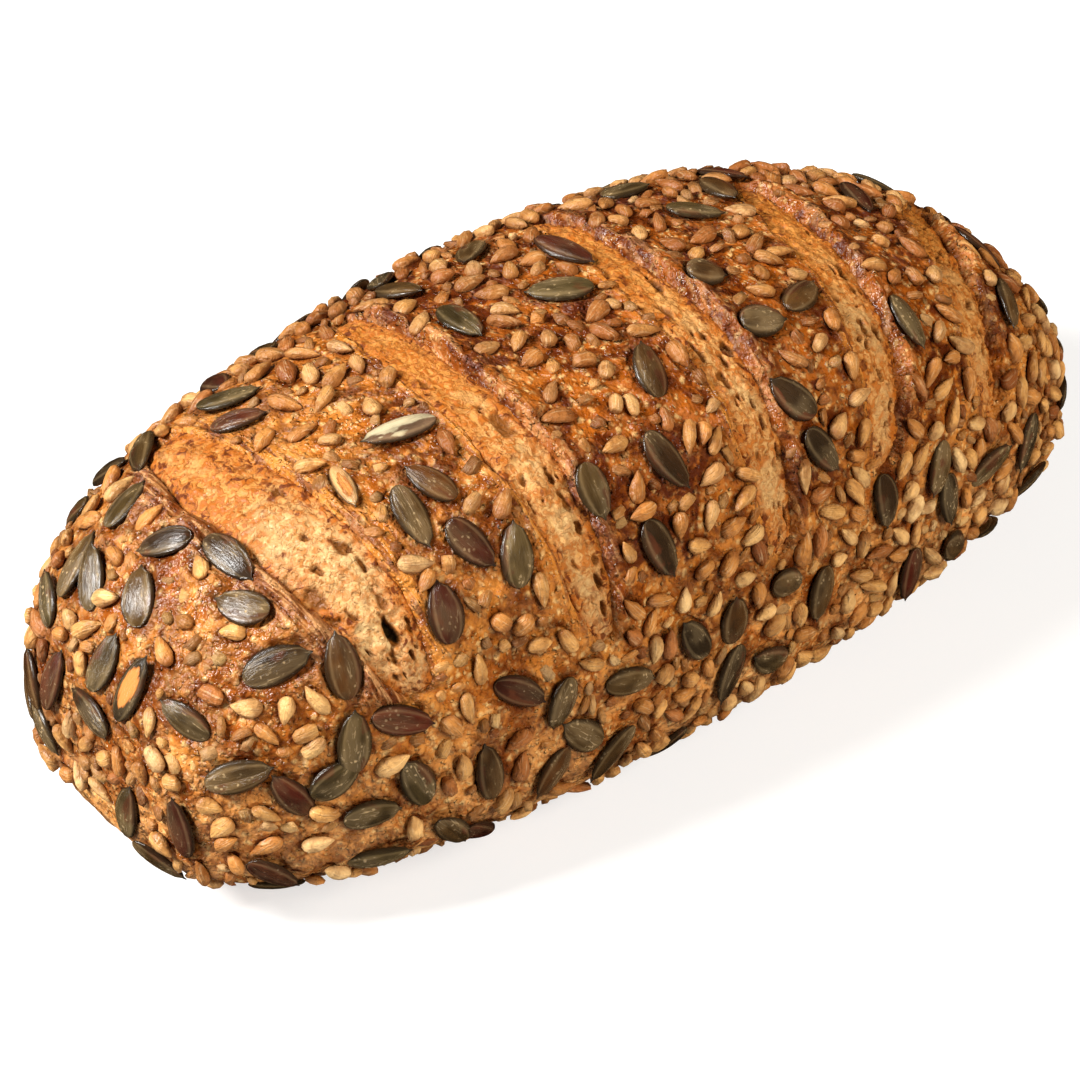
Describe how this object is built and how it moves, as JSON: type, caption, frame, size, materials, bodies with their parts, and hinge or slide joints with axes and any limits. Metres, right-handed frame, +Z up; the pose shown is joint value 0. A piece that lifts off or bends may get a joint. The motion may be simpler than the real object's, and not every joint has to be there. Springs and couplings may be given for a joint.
{
  "type": "seeded sourdough loaf",
  "caption": "Long oval loaf of seeded sourdough bread with slashes across its top and seeds fused to its crust, flat underneath so that it rests on a surface.",
  "frame": {"origin": "middle of the flat base of the loaf", "axes": "+X along the loaf, away from the end with the widest slash; -Y the side that the slashes reach furthest down; +Z up out of the ridge"},
  "size_m": [0.2747, 0.1257, 0.1009],
  "materials": {
    "crust": "baked golden-brown crust with glossy patches, flour specks and fused seeds"
  },
  "bodies": {
    "root": {"loaf": "crust"}
  },
  "joints": []
}
